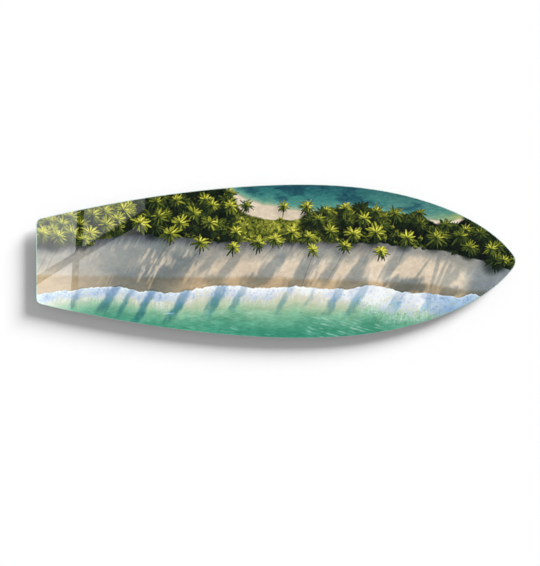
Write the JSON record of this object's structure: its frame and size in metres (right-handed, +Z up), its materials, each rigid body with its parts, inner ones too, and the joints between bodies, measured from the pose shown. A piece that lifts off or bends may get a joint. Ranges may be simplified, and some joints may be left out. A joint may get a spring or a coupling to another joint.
{
  "type": "surfboard-shaped glass wall panel",
  "caption": "Surfboard-shaped printed glass wall panel on an aluminium sub-frame that hooks over steel wall hangers with levelling screws.",
  "frame": {"origin": "centre of the four wall-screw holes, on the wall plane", "axes": "+X along the board towards its pointed nose, +Y into the wall, +Z up; the printed face looks along -Y"},
  "size_m": [1.1, 0.0317, 0.353],
  "materials": {
    "clear_glass": "polished, ground edges",
    "printed_ink": "full-colour beach print seen through the glass",
    "white_ink": "matt white backing print",
    "splinter_film": "satin grey film over the white print",
    "foam_tape": "closed-cell foam",
    "anodised_channel": "satin anodised",
    "mill_aluminium": "mill",
    "rivet_aluminium": "bright",
    "bumper_rubber": "matt black",
    "zinc_plate": "zinc plated",
    "plated_screw": "zinc plated"
  },
  "bodies": {
    "wall_fittings": {"wall_hanger_left": "zinc_plate", "weld_nut_left": "zinc_plate", "wall_hanger_right": "zinc_plate", "weld_nut_right": "zinc_plate"},
    "panel": {"glass_panel": "clear_glass", "image_ink": "printed_ink", "white_ink": "white_ink", "safety_film": "splinter_film", "bonding_tape_top": "foam_tape", "bonding_tape_bottom": "foam_tape", "bonding_tape_left": "foam_tape", "bonding_tape_right": "foam_tape", "frame_top_rail": "anodised_channel", "frame_bottom_rail": "anodised_channel", "frame_left_stile": "anodised_channel", "frame_right_stile": "anodised_channel", "corner_angle_top_left": "mill_aluminium", "corner_rivets_top_left": "rivet_aluminium", "corner_angle_top_right": "mill_aluminium", "corner_rivets_top_right": "rivet_aluminium", "corner_angle_bottom_left": "mill_aluminium", "corner_rivets_bottom_left": "rivet_aluminium", "corner_angle_bottom_right": "mill_aluminium", "corner_rivets_bottom_right": "rivet_aluminium", "wall_bumper_left": "bumper_rubber", "bumper_screw_left": "plated_screw", "wall_bumper_right": "bumper_rubber", "bumper_screw_right": "plated_screw"},
    "levelling_screw_left": {"levelling_screw_left": "plated_screw"},
    "levelling_screw_right": {"levelling_screw_right": "plated_screw"}
  },
  "joints": [
    {"name": "panel_lift", "type": "slide", "parent": "wall_fittings", "child": "panel", "axis": [0, 0, 1], "range_m": [0, 0.02]},
    {"name": "levelling_screw_left_turn", "type": "hinge", "parent": "wall_fittings", "child": "levelling_screw_left", "pos_m": [-0.23, -0.007, 0], "axis": [0, 0, 1], "range_deg": [-720, 720]},
    {"name": "levelling_screw_right_turn", "type": "hinge", "parent": "wall_fittings", "child": "levelling_screw_right", "pos_m": [0.23, -0.007, 0], "axis": [0, 0, 1], "range_deg": [-720, 720]}
  ]
}
